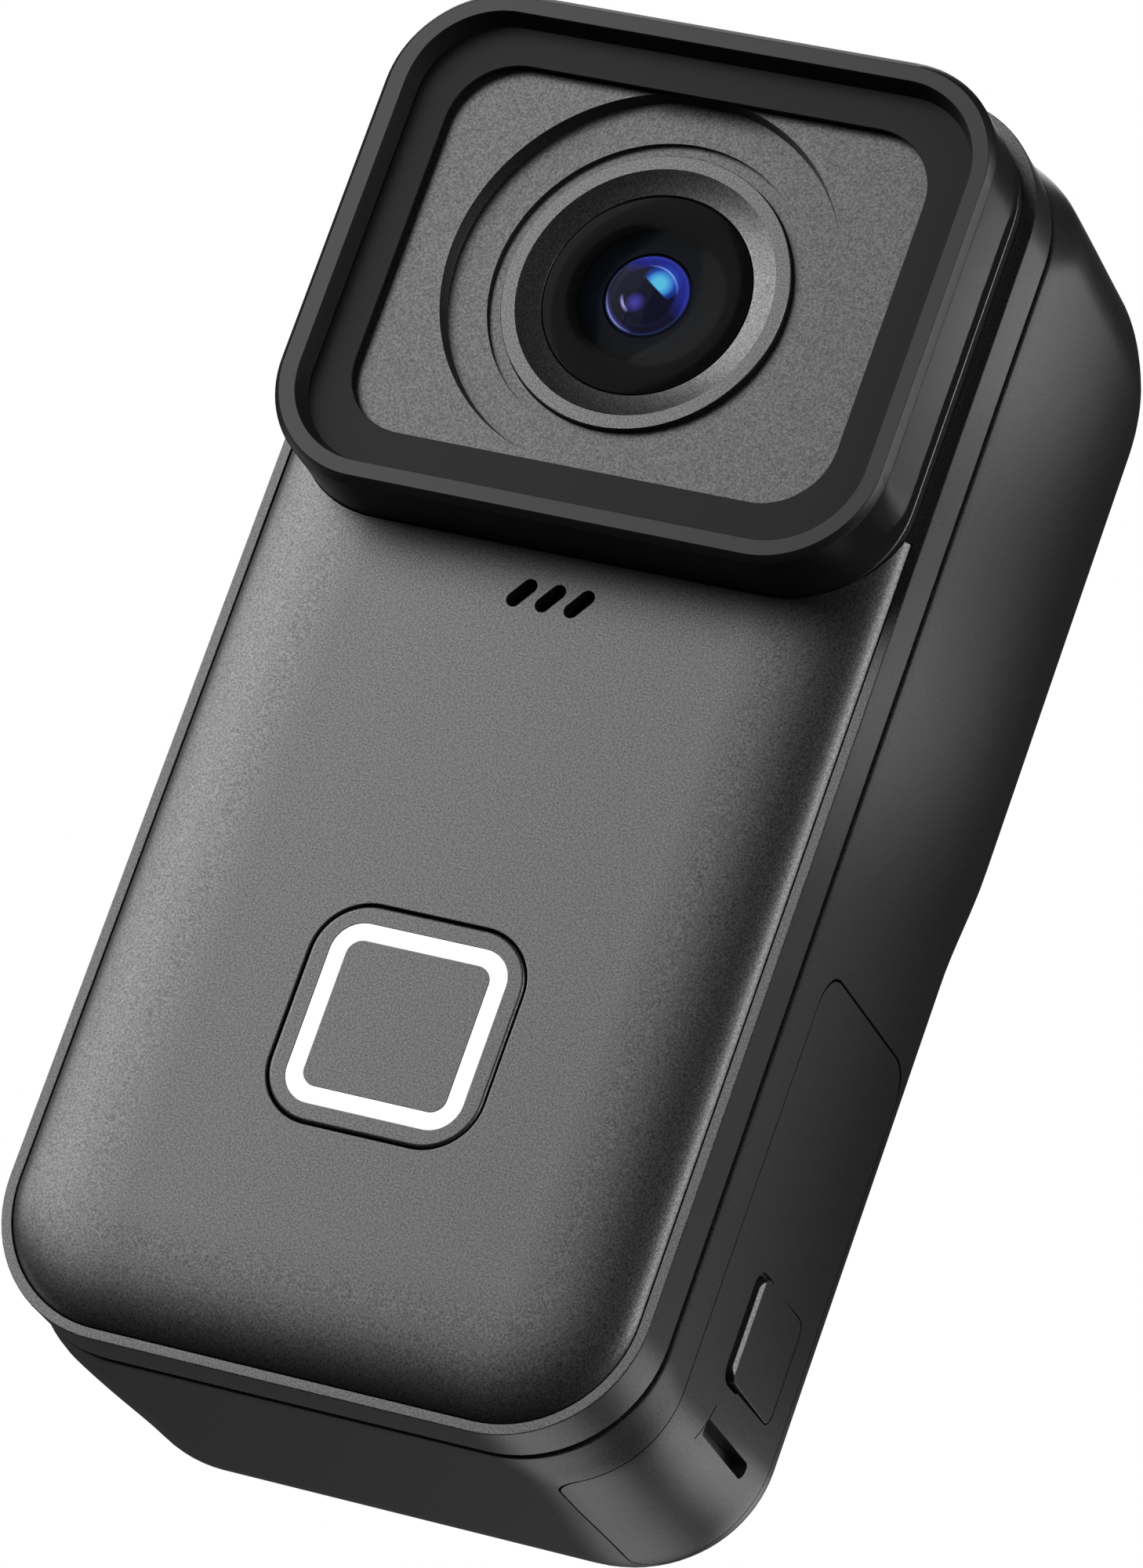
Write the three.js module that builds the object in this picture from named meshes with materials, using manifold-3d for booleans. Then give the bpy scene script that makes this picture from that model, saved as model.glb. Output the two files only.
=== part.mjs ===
// Upright pocket action camera: front frame and panel, lens block under a pull-off guard,
// rear shell with a screen, side battery door and the parts inside. Millimetres, +Z up,
// front towards -Y. Depths (y) are counted from the face of the record button, and the whole
// group is shifted so that the origin is the middle of the flat base.
import * as THREE from "three";
import { mergeVertices } from "three/addons/utils/BufferGeometryUtils.js";
import Module from "manifold-3d";

const wasm = await Module();
wasm.setup();

// ---- driving dimensions ----
const HALF_WIDTH = 21.5;
const HEIGHT = 89.5;
const WALL = 1.6;
const GAP = 0.3;                 // between separate outer pieces
const FIT = 0.1;                 // between pieces that are glued or pressed together
const CORNER_BOTTOM = 8.8;       // outline radius of the two lower corners
const CORNER_TOP = 8.4;          // outline radius of the two upper corners, at the front
const TIGHTER_BOTTOM = 1.2, TIGHTER_TOP = 2.0;   // the corners get this much tighter behind the seam,
const REGROW_BOTTOM = 1.2, REGROW_TOP = 0.5;     // open again towards the back,
const ROLL_BOTTOM = -0.8, ROLL_TOP = 0.5;        // and change by this share of the edge rounding there

const CORNER_STEPS = 7;
const FRAME_FRONT = 1.33;
const SEAM = 5.3;                // middle of the groove between frame and rear shell
const SEAM_WIDTH = 0.6;
const SEAL = 0.25;               // half the thickness of the seal that fills the groove's foot
const RIM = 0.68;                // width of the frame's flat front rim
const FRAME_FLOOR = [2.3, 3.4];  // the frame's inner plate

const PANEL_INSET = RIM + FIT;
const PANEL_BOW = { width: 8, drop: 0.55 };    // the panel falls gently towards its edge
const PANEL_ROLL = { width: 5.5, drop: 1.05, share: 0.95 }; // and rolls over steeply at the very edge
const PANEL_BACK = 2.2;

const BACK_UPPER = 32.5;
const BACK_STEP = 1.1;           // the lower back is this much shallower
const STEP_LOW = 42, STEP_HIGH = 50;
const SIDE_FILLET = 5.4, TOP_FILLET = 9.5, BOTTOM_FILLET = 7.3;

const LENS_Z = 71.55;
const GUARD_FRONT = -5.13, GUARD_BACK = 0.42;
const GUARD_Z = 71.58;
const GUARD = { halfX: 20.55, halfZ: 17.05, r: 7.3 };
const GUARD_BEVEL = 0.42;
const GUARD_LIP = 1.44;          // width of the guard's front lip
const GUARD_TAPER = 0.4;         // the lip's inner wall leans in by this much
const PLINTH = [0.55, 1.22];     // the lens block's flange, which the guard stands on
const GUARD_WALL = 1.2;          // thickness of its side walls
const LIP_BACK = -3.8;
const WINDOW = [-3.46, -3.2];
const APERTURE = { halfX: 16.28, halfZ: 12.75, r: 4.4 };
const DECK = -3.05;              // face of the lens block
const PANEL_TOP = GUARD_Z - GUARD.halfZ + GUARD.r;  // the panel's two horns end beside the guard here
const BLOCK = { halfX: 18.75, halfZ: 15.1, r: 5.4 };

const DISH_RADIUS = 12.51, DISH_INNER = 10.25, BEZEL_RADIUS = 9.3;
const DISH_DEPTH = 0.95, INNER_DEPTH = 1.3;     // two steps down from the lens block's face
const BEZEL_FACE = -2.27, BEZEL_FLAT = 8.37, GLASS_RADIUS = 6.8, GLASS_FACE = -1.81;
const ELEMENT_RADIUS = 2.75;

const BUTTON_Z = 22.91, BUTTON_HALF = 7.1, BUTTON_R = 3.55;
const LIGHT_OUTER = 5.89, LIGHT_INNER = 4.82;
const MIC_Z = 51.55, MIC_PITCH = 1.95, MIC_LENGTH = 2.15, MIC_WIDTH = 0.95, MIC_TILT = 35.5;

const SCREW_X = 16.8, SCREW_LOW = 12, SCREW_HIGH = 79, POST_RADIUS = 3.2;

const DOOR = { front: 9.42, back: 26.4, top: 35.38, bottomEdge: 15.5, r: 2.4 };
const HINGE_X = 20.9, HINGE_Z = DOOR.top - DOOR.r, PIN_RADIUS = 0.25;
const LATCH = { front: 15.0, back: 23.8, low: 10.5, high: 17.3, proud: 0.36, r: 0.9 };
const LATCH_DEPTH = 1.2, LATCH_TRAVEL = 0.6;
const NAIL_SLOT = { front: 14.4, back: 23.0, z: 7.15, height: 1.1, depth: 0.9 };

const SCREEN = { halfX: 15.2, halfZ: 12.6, z: 66.4, r: 2.6 };
const POWER = { y: 18, z: 61, length: 11, width: 4.6 };
const BAY = { left: -18.5, right: 17.0, front: 10.4, back: 24.6, low: 5.2, high: 34.0, wall: 0.8 };

const ORIGIN_DEPTH = (GUARD_FRONT + BACK_UPPER) / 2;

// ---- materials ----
const finish = (color, roughness, metalness = 0) =>
  new THREE.MeshStandardMaterial({ color, roughness, metalness });
const SHELL = () => finish(0x2e2f31, 0.55);
const PANEL = () => finish(0x5c5d60, 0.5);
const GUARD_BLACK = () => finish(0x1c1d1f, 0.35);
const GLASS = () => finish(0x0a0b0d, 0.05);
const WHITE = () => finish(0xf5f5f5, 0.3);
const RUBBER = () => finish(0x101010, 0.8);
const STEEL = () => finish(0xb0b2b5, 0.3, 1);
const BOARD = () => finish(0x1d3b2a, 0.6);
const INNER_PLASTIC = () => finish(0x18191a, 0.6);

// ---- solids ----
function solidOf(geometry) {
  for (const extra of ["normal", "uv"]) geometry.deleteAttribute(extra);
  const merged = mergeVertices(geometry, 1e-4);
  const mesh = new wasm.Mesh({
    numProp: 3,
    vertProperties: new Float32Array(merged.attributes.position.array),
    triVerts: new Uint32Array(merged.index.array),
  });
  mesh.merge();
  return new wasm.Manifold(mesh);
}

function geometryOf(solid) {
  const mesh = solid.getMesh();
  const geometry = new THREE.BufferGeometry();
  geometry.setAttribute("position", new THREE.BufferAttribute(mesh.vertProperties, 3));
  geometry.setIndex(new THREE.BufferAttribute(mesh.triVerts, 1));
  const flat = geometry.toNonIndexed();
  flat.computeVertexNormals();
  return flat;
}

const cut = (solid, ...tools) => tools.reduce((left, tool) => left.subtract(tool), solid);
const join = (solid, ...more) => more.reduce((left, piece) => left.add(piece), solid);

function box(x, y, z) {
  const geometry = new THREE.BoxGeometry(x[1] - x[0], y[1] - y[0], z[1] - z[0]);
  geometry.translate((x[0] + x[1]) / 2, (y[0] + y[1]) / 2, (z[0] + z[1]) / 2);
  return solidOf(geometry);
}

// A closed loop in the XZ plane at depth y: right side upwards, then left side downwards.
function ring({ halfX, low, high, rLow, rHigh = rLow, y, rows = [], steps = 5 }) {
  const right = [];
  for (let i = 0; i <= steps; i++) {
    const a = (i / steps) * Math.PI / 2;
    right.push([halfX - rLow + rLow * Math.sin(a), low + rLow - rLow * Math.cos(a)]);
  }
  for (const z of rows) right.push([halfX, z]);
  for (let i = 0; i <= steps; i++) {
    const a = (i / steps) * Math.PI / 2;
    right.push([halfX - rHigh + rHigh * Math.cos(a), high - rHigh + rHigh * Math.sin(a)]);
  }
  const left = right.map(([x, z]) => [-x, z]).reverse();
  return [...right, ...left].map(([x, z]) => [x, y, z]);
}

// Skins a row of loops, front to back, and closes both ends with ladders of quads.
function loft(rings) {
  const count = rings[0].length;
  const half = count / 2;
  const index = [];
  for (let k = 0; k + 1 < rings.length; k++) {
    for (let i = 0; i < count; i++) {
      const j = (i + 1) % count;
      const [a, b, c, d] = [k * count + i, k * count + j, (k + 1) * count + j, (k + 1) * count + i];
      index.push(a, d, c, a, c, b);
    }
  }
  const last = (rings.length - 1) * count;
  for (let i = 0; i + 1 < half; i++) {
    const [r, s, t, u] = [i, i + 1, count - 2 - i, count - 1 - i];
    index.push(r, s, t, r, t, u);
    index.push(last + t, last + s, last + r, last + u, last + t, last + r);
  }
  const geometry = new THREE.BufferGeometry();
  geometry.setAttribute("position", new THREE.Float32BufferAttribute(rings.flat(2), 3));
  geometry.setIndex(index);
  return solidOf(geometry);
}

// A plate with rounded corners, centred at (0, z), from depth y0 to y1.
function plate({ halfX, halfZ, r }, z, y0, y1, grow = 0, steps = 5) {
  const size = {
    halfX: halfX + grow, low: z - halfZ - grow, high: z + halfZ + grow,
    rLow: Math.max(r + grow, 0.2), steps,
  };
  return loft([ring({ ...size, y: y0 }), ring({ ...size, y: y1 })]);
}

// A turned piece about a line along Y through (x, z); profile is [radius, y] from front to back.
function turned(profile, x, z, sides = 32) {
  const points = profile.map(([r, y]) => new THREE.Vector2(r, y));
  return solidOf(new THREE.LatheGeometry(points, sides).translate(x, 0, z));
}

const disc = (r, y0, y1, x, z, sides = 32) => turned([[0, y0], [r, y0], [r, y1], [0, y1]], x, z, sides);

// Extrudes a shape drawn in (y, z) along +X, from x0 to x1.
function alongX(shape, x0, x1, curveSegments = 5) {
  const geometry = new THREE.ExtrudeGeometry(shape, { depth: x1 - x0, bevelEnabled: false, curveSegments });
  const basis = new THREE.Matrix4().makeBasis(
    new THREE.Vector3(0, 1, 0), new THREE.Vector3(0, 0, 1), new THREE.Vector3(1, 0, 0));
  return solidOf(geometry.applyMatrix4(basis).translate(x0, 0, 0));
}

function roundedShape(x0, x1, y0, y1, r) {
  const shape = new THREE.Shape();
  shape.absarc(x1 - r, y0 + r, r, -Math.PI / 2, 0);
  shape.absarc(x1 - r, y1 - r, r, 0, Math.PI / 2);
  shape.absarc(x0 + r, y1 - r, r, Math.PI / 2, Math.PI);
  shape.absarc(x0 + r, y0 + r, r, Math.PI, Math.PI * 1.5);
  return shape;
}

const camera = new THREE.Group();
camera.position.y = -ORIGIN_DEPTH;

function add(name, solid, material) {
  const mesh = new THREE.Mesh(geometryOf(solid), material);
  mesh.name = name;
  camera.add(mesh);
}

// ---- outer form of the rear shell ----
const smooth = (t) => {
  const s = Math.min(Math.max(t, 0), 1);
  return s * s * (3 - 2 * s);
};

const filletInset = (y, back, radius) => {
  const past = Math.max(y - (back - radius), 0);
  return radius - Math.sqrt(Math.max(radius * radius - past * past, 0));
};

// The shell's form, offset inwards by `inset`, from depth `front` to its back face.
function shellForm(inset, front, depths) {
  const back = BACK_UPPER - inset;
  const rows = [38, 41, 43, 45, 47, 49, 51];
  const shrink = (radius) => radius - inset;
  const rings = [front, ...depths, back].map((y) => {
    const side = filletInset(y, back, shrink(SIDE_FILLET));
    const top = filletInset(y, back, shrink(TOP_FILLET));
    const bottom = filletInset(y, back, shrink(BOTTOM_FILLET));
    const behind = smooth((y - SEAM) / 4.8);
    const regrow = smooth((y - 10) / 16);
    const loop = ring({
      halfX: HALF_WIDTH - inset - side, low: inset + bottom, high: HEIGHT - inset - top, y, rows,
      rLow: shrink(CORNER_BOTTOM) - TIGHTER_BOTTOM * behind + REGROW_BOTTOM * regrow
        + ROLL_BOTTOM * Math.max(side, bottom),
      rHigh: shrink(CORNER_TOP) - TIGHTER_TOP * behind + REGROW_TOP * regrow
        + ROLL_TOP * Math.max(side, top),
      steps: CORNER_STEPS,
    });
    return loop.map(([x, depth, z]) => {
      const low = 1 - smooth((z - STEP_LOW) / (STEP_HIGH - STEP_LOW));
      return [x, depth - BACK_STEP * low * smooth((depth - 14) / 10), z];
    });
  });
  return loft(rings);
}

// The corner of the shell that the battery door fills; grow widens it on every edge.
function doorRegion(grow) {
  const { front, back, top, bottomEdge, r } = DOOR;
  const side = roundedShape(front - grow, back + grow, -6, top + grow, r + grow);
  const floorEdge = new THREE.Shape();
  floorEdge.absarc(bottomEdge - grow + r, back + grow - r, r, Math.PI / 2, Math.PI);
  floorEdge.absarc(bottomEdge - grow + r, front - grow + r, r, Math.PI, Math.PI * 1.5);
  floorEdge.lineTo(30, front - grow);
  floorEdge.lineTo(30, back + grow);
  const upright = new THREE.ExtrudeGeometry(floorEdge, { depth: 50, bevelEnabled: false, curveSegments: 4 });
  return alongX(side, bottomEdge - grow, 30).intersect(solidOf(upright.translate(0, 0, -6)));
}

const shellOutside = () => shellForm(0, SEAM + SEAM_WIDTH / 2,
  [7.5, 10, 14, 19, 23, 25.2, 27.1, 28.7, 30.1, 31.2, 32.0, 32.4]);
const shellInside = (front = SEAM - 1) => shellForm(WALL, front, [7.5, 10, 14, 19, 23, 25.2, 27.1, 28.7, 30]);

// The body's outline at the front, `inset` inwards, at depth y.
function bodyLoop(inset, y) {
  return ring({
    halfX: HALF_WIDTH - inset, low: inset, high: HEIGHT - inset, y,
    rLow: CORNER_BOTTOM - inset, rHigh: CORNER_TOP - inset, steps: CORNER_STEPS,
  });
}

// ---- front ----
function addFrontFrame() {
  const back = SEAM - SEAM_WIDTH / 2;
  let frame = loft([bodyLoop(0, FRAME_FRONT), bodyLoop(0, back)]);
  const pocket = cut(loft([bodyLoop(RIM, 0), bodyLoop(RIM, FRAME_FLOOR[0])]),
    plate(GUARD, GUARD_Z, -1, 4, -FIT), box([-30, 30], [-2, 9], [PANEL_TOP, 100]));
  frame = cut(frame, pocket, loft([bodyLoop(WALL, FRAME_FLOOR[1]), bodyLoop(WALL, back + 1)]));
  frame = cut(frame,
    disc(BEZEL_RADIUS + GAP, 0, 6, 0, LENS_Z),
    box([-5, 5], [0, 6], [BUTTON_Z - 5, BUTTON_Z + 5]),
    box([-3.6, 3.6], [0, 6], [MIC_Z - 1.8, MIC_Z + 1.8]));
  for (const x of [-SCREW_X, SCREW_X]) {
    for (const z of [SCREW_LOW, SCREW_HIGH]) {
      frame = cut(frame, disc(0.9, 0, 6, x, z, 12), disc(1.6, 0, FRAME_FLOOR[0], x, z, 16));
    }
  }
  add("front_frame", frame, SHELL());
}

const slotTool = (x, grow = 0) => {
  const half = MIC_WIDTH / 2 + grow;
  const reach = MIC_LENGTH / 2 - MIC_WIDTH / 2;
  const shape = new THREE.Shape();
  shape.absarc(0, reach, half, 0, Math.PI);
  shape.absarc(0, -reach, half, Math.PI, 2 * Math.PI);
  const geometry = new THREE.ExtrudeGeometry(shape, { depth: 6, bevelEnabled: false, curveSegments: 5 });
  geometry.rotateZ(-THREE.MathUtils.degToRad(MIC_TILT)).rotateX(Math.PI / 2);
  return solidOf(geometry.translate(x, 4, MIC_Z));
};

// How far the panel's face lies behind its middle, d inwards from its edge.
function panelDepth(d) {
  const bow = 1 - Math.min(d / PANEL_BOW.width, 1);
  const roll = 1 - Math.min(d / PANEL_ROLL.width, 1);
  return PANEL_BOW.drop * bow ** 2 + PANEL_ROLL.drop * (1 - Math.sqrt(1 - PANEL_ROLL.share * roll ** 3));
}

function addFrontPanel() {
  const crown = [7.6, 5.4, 3.6, 2.2, 1.2, 0.5, 0.12, 0].map((d) => bodyLoop(PANEL_INSET + d, panelDepth(d)));
  let panel = loft([...crown, bodyLoop(PANEL_INSET, PANEL_BACK)]);
  const hollow = loft([bodyLoop(PANEL_INSET + 1.6, 1.5), bodyLoop(PANEL_INSET + 1.6, PANEL_BACK + 1)]);
  const button = { halfX: BUTTON_HALF + 0.2, halfZ: BUTTON_HALF + 0.2, r: BUTTON_R + 0.2 };
  panel = cut(panel, cut(hollow, box([-30, 30], [0, 9], [PANEL_TOP - GUARD.r - 1.2, 99])),
    plate(GUARD, GUARD_Z, -6, 9, GAP - FIT), box([-30, 30], [-2, 9], [PANEL_TOP - FIT, 100]),
    plate(button, BUTTON_Z, -1, 4),
    ...[-1, 0, 1].map((i) => slotTool(i * MIC_PITCH)));
  add("front_panel", panel, PANEL());
}

function addMicrophone() {
  add("mic_mesh", box([-3.8, 3.8], [1.55, 1.75], [MIC_Z - 1.4, MIC_Z + 1.4]), STEEL());
  add("microphone", box([-2, 2], [2.0, 3.2], [MIC_Z - 1.5, MIC_Z + 1.5]), STEEL());
}

function addRecordButton() {
  const pad = { halfX: BUTTON_HALF, halfZ: BUTTON_HALF, r: BUTTON_R };
  const outer = { halfX: LIGHT_OUTER, halfZ: LIGHT_OUTER, r: 2.2 };
  const inner = { halfX: LIGHT_INNER, halfZ: LIGHT_INNER, r: 1.1 };
  const channel = cut(plate(outer, BUTTON_Z, -1, 0.8, 0.08), plate(inner, BUTTON_Z, -2, 2, -0.08));
  add("record_button_cap", cut(plate(pad, BUTTON_Z, 0, 1.3), channel), PANEL());
  add("record_light_ring", cut(plate(outer, BUTTON_Z, 0, 0.7), plate(inner, BUTTON_Z, -1, 2)), WHITE());
  add("record_button_seal", plate(pad, BUTTON_Z, 1.9, 2.15, 0.5), RUBBER());
  const switchBody = join(box([-2.6, 2.6], [3.0, 4.6], [BUTTON_Z - 2.6, BUTTON_Z + 2.6]),
    disc(1.3, 2.3, 3.2, 0, BUTTON_Z, 16));
  add("record_switch", switchBody, INNER_PLASTIC());
  add("button_board", box([-8, 8], [4.8, 5.4], [BUTTON_Z - 7, BUTTON_Z + 7]), BOARD());
}

function addCaseScrews() {
  let number = 1;
  for (const z of [SCREW_LOW, SCREW_HIGH]) {
    for (const x of [-SCREW_X, SCREW_X]) {
      const profile = [[0, 1.6], [1.3, 1.6], [1.3, 2.22], [0.6, 2.22], [0.6, 8.2], [0, 8.2]];
      add(`case_screw_${number}`, turned(profile, x, z, 12), STEEL());
      number += 1;
    }
  }
}

// ---- lens ----
function addLensBlock() {
  const hollow = cut(plate(BLOCK, GUARD_Z, DECK + INNER_DEPTH + 0.5, 3, -1.2), disc(BEZEL_RADIUS + 1.4, -3, 3.5, 0, LENS_Z, 40));
  const block = cut(join(plate(BLOCK, GUARD_Z, DECK, 1.1), plate(GUARD, GUARD_Z, ...PLINTH, -0.05)), hollow,
    disc(BEZEL_RADIUS + FIT, -4, 4, 0, LENS_Z, 48),
    disc(DISH_INNER, -4, DECK + INNER_DEPTH, 0, LENS_Z, 48),
    disc(DISH_RADIUS, -4, DECK + DISH_DEPTH, 0, LENS_Z, 48));
  add("lens_block", block, PANEL());
}

function addLens() {
  const bezel = [[GLASS_RADIUS, GLASS_FACE], [BEZEL_FLAT, BEZEL_FACE], [BEZEL_RADIUS, BEZEL_FACE],
    [BEZEL_RADIUS, 0.2], [GLASS_RADIUS, 0.2], [GLASS_RADIUS, GLASS_FACE]];
  add("lens_bezel", turned(bezel, 0, LENS_Z, 48), PANEL());
  const faceRadius = GLASS_RADIUS - FIT;
  add("lens_face_ring", turned([[ELEMENT_RADIUS + FIT, GLASS_FACE], [faceRadius, GLASS_FACE],
    [faceRadius, -0.9], [ELEMENT_RADIUS + FIT, -0.9], [ELEMENT_RADIUS + FIT, GLASS_FACE]], 0, LENS_Z, 40),
  GLASS());
  add("lens_front_element", turned([[0, -2.05], [1.5, -1.98], [ELEMENT_RADIUS, GLASS_FACE],
    [ELEMENT_RADIUS, 0], [0, 0.3]], 0, LENS_Z, 32), finish(0x1a1f5a, 0.05));
  add("lens_barrel", turned([[3.3, 0.9], [8.6, 0.9], [8.6, 6], [7.2, 6], [7.2, 12], [5.2, 12], [5.2, 4],
    [3.3, 4], [3.3, 0.9]], 0, LENS_Z), INNER_PLASTIC());
  add("lens_rear_element", turned([[0, 5.6], [4.9, 6.4], [4.9, 9.4], [0, 10.4]], 0, LENS_Z, 24), GLASS());
  add("image_sensor", box([-5, 5], [12.4, 13.4], [LENS_Z - 4, LENS_Z + 4]), GLASS());
  add("sensor_board", box([-9, 9], [13.7, 14.5], [LENS_Z - 9, LENS_Z + 9]), BOARD());
}

// ---- lens guard ----
function addGuard() {
  const { halfX, halfZ, r } = GUARD;
  const loop = (inset, y) => ring({
    halfX: halfX - inset, low: GUARD_Z - halfZ + inset, high: GUARD_Z + halfZ - inset, rLow: r - inset, y,
  });
  const form = loft([loop(GUARD_BEVEL, GUARD_FRONT), loop(0, GUARD_FRONT + GUARD_BEVEL), loop(0, GUARD_BACK)]);
  const opening = loft([loop(GUARD_LIP, GUARD_FRONT - 0.01), loop(GUARD_LIP + GUARD_TAPER, LIP_BACK + 0.01)]);
  const seat = plate(GUARD, GUARD_Z, LIP_BACK, 2, -GUARD_WALL);
  add("guard_frame", cut(form, opening, seat), GUARD_BLACK());
  const pane = -GUARD_WALL - FIT;
  const mask = cut(plate(GUARD, GUARD_Z, LIP_BACK + 0.06, -3.52, pane), plate(APERTURE, LENS_Z, -6, 0));
  add("guard_mask", mask, GUARD_BLACK());
  add("guard_window", plate(GUARD, GUARD_Z, ...WINDOW, pane), GLASS());
  add("guard_seal", cut(plate(BLOCK, GUARD_Z, -0.6, 0.4, 0.5), plate(BLOCK, GUARD_Z, -2, 2, FIT)), RUBBER());
}

// ---- rear shell ----
const capsule = (length, width) => {
  const shape = new THREE.Shape();
  const reach = (length - width) / 2;
  shape.absarc(POWER.y, POWER.z + reach, width / 2, 0, Math.PI);
  shape.absarc(POWER.y, POWER.z - reach, width / 2, Math.PI, 2 * Math.PI);
  return shape;
};

function addRearShell() {
  const window = { halfX: SCREEN.halfX - 1.6, halfZ: SCREEN.halfZ - 1.6, r: 1.6 };
  let shell = cut(shellOutside(), shellInside(), doorRegion(GAP / 2),
    plate(SCREEN, SCREEN.z, BACK_UPPER - 1.0, 40, GAP / 2), plate(window, SCREEN.z, 25, 40),
    alongX(capsule(POWER.length + 2 * GAP, POWER.width + 2 * GAP), -25, -15));
  const within = shellForm(WALL / 2, SEAM, [7.5, 10, 14]);
  for (const x of [-SCREW_X, SCREW_X]) {
    for (const z of [SCREW_LOW, SCREW_HIGH]) {
      const post = disc(POST_RADIUS, SEAM + 0.6, 8.9, x, z, 14).intersect(within);
      shell = cut(join(shell, post), disc(0.9, 0, 8.6, x, z, 12));
    }
  }
  const pinHole = disc(PIN_RADIUS + 0.12, DOOR.front - 1.2, DOOR.back + 0.75, HINGE_X, HINGE_Z, 20);
  add("rear_shell", cut(shell, pinHole), SHELL());
  const band = (inset, y0, y1) => loft([bodyLoop(inset, y0), bodyLoop(inset, y1)]);
  const seal = cut(band(0.5, SEAM - SEAL, SEAM + SEAL), band(WALL - FIT, 0, 9));
  add("body_seal", seal, RUBBER());
}

function addScreen() {
  add("screen_glass", plate(SCREEN, SCREEN.z, BACK_UPPER - 0.85, BACK_UPPER - 0.05, -0.05), GLASS());
  const module = { halfX: SCREEN.halfX - 1.9, halfZ: SCREEN.halfZ - 1.9, r: 1 };
  add("display_module", plate(module, SCREEN.z, 27.6, BACK_UPPER - 1.1), INNER_PLASTIC());
}

function addPowerButton() {
  const flange = alongX(capsule(POWER.length + 1.6, POWER.width + 1.6), -19.6, -19.0);
  const cap = join(alongX(capsule(POWER.length, POWER.width), -HALF_WIDTH, -19.4), flange);
  add("power_button", cap, SHELL());
  add("power_switch", box([-18.3, -16.6], [POWER.y - 2, POWER.y + 2], [POWER.z - 2.5, POWER.z + 2.5]),
    INNER_PLASTIC());
}

// ---- inside ----
function addElectronics() {
  add("main_board", box([-16, 16], [18, 19], [40, 84]), BOARD());
  add("heat_spreader", box([-15, 15], [20, 20.8], [44, 82]), STEEL());
  const { left, right, front, back, low, high, wall } = BAY;
  const hollow = box([left + wall, right + 1], [front + wall, back - wall], [low + wall, high - wall]);
  add("battery_bay", cut(box([left, right], [front, back], [low, high]), hollow), INNER_PLASTIC());
  add("battery_contacts", box([-17.5, -16.6], [14, 21], [18, 28]), STEEL());
  add("battery", box([-16.3, 16.2], [11.6, 23.4], [13.4, 32.8]), finish(0x2a2a2c, 0.45));
  const socket = cut(box([2.5, 16.4], [12, 23], [10.6, 12.8]), box([3.4, 20], [12.4, 22.6], [11.1, 12.2]));
  add("memory_card_socket", socket, STEEL());
  add("memory_card", box([3.7, 16.2], [12.6, 22.4], [11.3, 12.0]), INNER_PLASTIC());
  const usb = cut(box([8, 16.4], [13.1, 21.9], [6.4, 9.8]), box([9, 20], [13.7, 21.3], [7.0, 9.2]));
  add("usb_socket", join(usb, box([8.5, 15.6], [14.8, 20.2], [7.8, 8.4])), STEEL());
}

// ---- battery door ----
function latchForm(grow, depth) {
  const { front, back, low, high, proud, r } = LATCH;
  const shape = new THREE.Shape();
  shape.moveTo(HALF_WIDTH - depth, front - grow);
  shape.lineTo(HALF_WIDTH + proud + grow * 2, front - grow);
  shape.lineTo(HALF_WIDTH + grow * 2, back + grow);
  shape.lineTo(HALF_WIDTH - depth, back + grow);
  const height = high - low + 2 * grow;
  const geometry = new THREE.ExtrudeGeometry(shape, { depth: height, bevelEnabled: false });
  const outline = roundedShape(front - grow, back + grow, low - grow, high + grow, r + grow);
  return solidOf(geometry.translate(0, 0, low - grow)).intersect(alongX(outline, 10, 30, 4));
}

function addBatteryDoor() {
  const wall = cut(shellOutside(), shellInside(3)).intersect(doorRegion(-GAP / 2));
  const sealRing = (x0, x1) => cut(alongX(roundedShape(10.9, 24.1, 6.9, 33.3, 2), x0, x1),
    alongX(roundedShape(12.1, 22.9, 8.1, 32.1, 1), x0 - 1, x1 + 1));
  const lip = sealRing(18.35, 20.2);
  const boss = box([18.3, 20.2], [LATCH.front - 0.9, LATCH.back + 0.25], [LATCH.low - 0.9, LATCH.high + 0.9]);
  const pocket = latchForm(0.15, LATCH_DEPTH + LATCH_TRAVEL + 0.5);
  const nail = alongX(roundedShape(NAIL_SLOT.front, NAIL_SLOT.back, NAIL_SLOT.z - NAIL_SLOT.height / 2,
    NAIL_SLOT.z + NAIL_SLOT.height / 2, 0.5), HALF_WIDTH - NAIL_SLOT.depth - 0.3, 25);
  const bore = disc(PIN_RADIUS + 0.15, 0, 30, HINGE_X, HINGE_Z, 20);
  const door = cut(join(wall, boss, lip), pocket, nail, bore);
  add("battery_door", door, SHELL());
  add("door_seal", sealRing(17.45, 18.15), RUBBER());
  add("door_latch", latchForm(0, LATCH_DEPTH), SHELL());
  add("latch_spring", box([19.3, 19.55], [16.4, 22.4], [12, 15.8]), STEEL());
  add("door_hinge_pin", disc(PIN_RADIUS, DOOR.front - 1, DOOR.back + 0.6, HINGE_X, HINGE_Z, 20), STEEL());
}

addFrontFrame();
addFrontPanel();
addMicrophone();
addRecordButton();
addCaseScrews();
addLensBlock();
addLens();
addGuard();
addRearShell();
addScreen();
addPowerButton();
addElectronics();
addBatteryDoor();

export default camera;
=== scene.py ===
import math

import bmesh
import bpy
from mathutils import Matrix, Vector

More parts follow.
